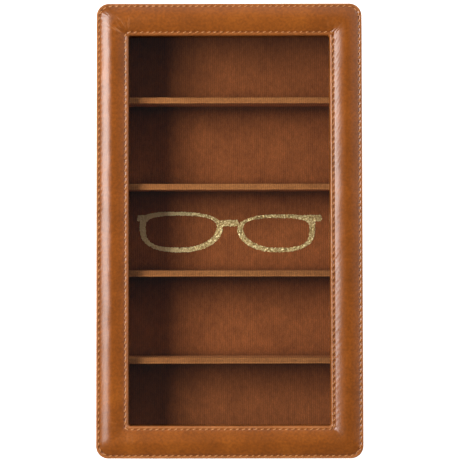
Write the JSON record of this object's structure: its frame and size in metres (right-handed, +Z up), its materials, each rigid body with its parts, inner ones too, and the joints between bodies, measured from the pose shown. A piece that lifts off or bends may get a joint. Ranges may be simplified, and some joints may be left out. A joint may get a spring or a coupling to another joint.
{
  "type": "eyeglasses case",
  "caption": "Leather-covered eyeglasses storage box with suede-lined compartments and a hinged, padded lid that has a stitched border round a glass window.",
  "frame": {"origin": "middle of the box's outline, on the surface it stands on", "axes": "+Y along the box towards its back end, +X towards the side that lifts, +Z up; the lid is hinged along the -X side"},
  "size_m": [0.185, 0.316, 0.0664],
  "materials": {
    "leather": "satin cognac brown full-grain leather, padded on the lid",
    "lining_suede": "matt brown suede cloth with a fine grain",
    "divider_suede": "matt light tan suede cloth",
    "thread": "waxed light tan sewing thread",
    "glass": "clear float glass",
    "fibreboard": "raw medium-density fibreboard",
    "foam": "cream upholstery foam",
    "felt": "dark brown pressed felt",
    "foil": "mottled hot-stamped gold foil",
    "brass": "satin brass",
    "steel": "plain steel plate",
    "magnet": "nickel-plated magnet"
  },
  "bodies": {
    "base": {"underside_felt": "felt", "base_board": "fibreboard", "wall_board_left": "fibreboard", "wall_board_right": "fibreboard", "wall_board_front": "fibreboard", "wall_board_back": "fibreboard", "base_side_leather": "leather", "wall_lining_left": "lining_suede", "wall_lining_right": "lining_suede", "wall_lining_front": "lining_suede", "wall_lining_back": "lining_suede", "floor_lining": "lining_suede", "foil_spectacles": "foil", "divider_1_board": "fibreboard", "divider_1_suede": "divider_suede", "divider_2_board": "fibreboard", "divider_2_suede": "divider_suede", "divider_3_board": "fibreboard", "divider_3_suede": "divider_suede", "divider_4_board": "fibreboard", "divider_4_suede": "divider_suede", "magnet_front": "magnet", "hinge_front_base_leaf": "brass", "hinge_front_pin": "brass", "hinge_front_base_screw_1": "brass", "hinge_front_base_screw_2": "brass", "magnet_back": "magnet", "hinge_back_base_leaf": "brass", "hinge_back_pin": "brass", "hinge_back_base_screw_1": "brass", "hinge_back_base_screw_2": "brass"},
    "lid": {"lid_rail_left": "fibreboard", "lid_rail_right": "fibreboard", "lid_rail_front": "fibreboard", "lid_rail_back": "fibreboard", "lid_padding": "foam", "lid_top_leather": "leather", "lid_side_leather": "leather", "outer_stitching": "thread", "inner_stitching": "thread", "glass_pane": "glass", "lid_under_lining": "lining_suede", "keeper_front": "steel", "hinge_front_lid_leaf": "brass", "hinge_front_lid_screw_1": "brass", "hinge_front_lid_screw_2": "brass", "keeper_back": "steel", "hinge_back_lid_leaf": "brass", "hinge_back_lid_screw_1": "brass", "hinge_back_lid_screw_2": "brass"}
  },
  "joints": [
    {"name": "lid_hinge", "type": "hinge", "parent": "base", "child": "lid", "pos_m": [-0.0912, 0, 0.0522], "axis": [0, -1, 0], "range_deg": [0, 95]}
  ]
}
